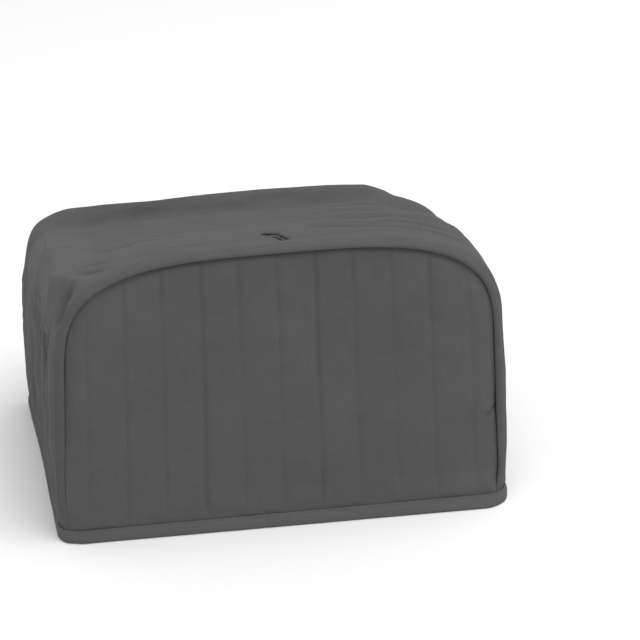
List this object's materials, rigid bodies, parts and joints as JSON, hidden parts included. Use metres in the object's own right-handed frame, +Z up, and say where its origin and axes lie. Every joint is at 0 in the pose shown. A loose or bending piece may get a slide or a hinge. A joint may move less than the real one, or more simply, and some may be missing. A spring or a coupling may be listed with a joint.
{
  "type": "toaster cover",
  "caption": "Fitted quilted cloth cover with arched front and back panels, a gusset over the sides and top, and a bound open bottom.",
  "frame": {"origin": "middle of the footprint at the height of the hem that stands on the table", "axes": "+X to the right seen from the front, +Y from the front panel to the back panel, +Z up"},
  "size_m": [0.3156, 0.2158, 0.196],
  "materials": {
    "quilted_cotton": "matt charcoal grey quilted cotton, stitched in upright lines an inch apart",
    "binding_tape": "matt grey cotton tape, a little lighter than the quilting"
  },
  "bodies": {
    "root": {"front_panel": "quilted_cotton", "back_panel": "quilted_cotton", "gusset": "quilted_cotton", "hem_binding": "binding_tape"}
  },
  "joints": []
}
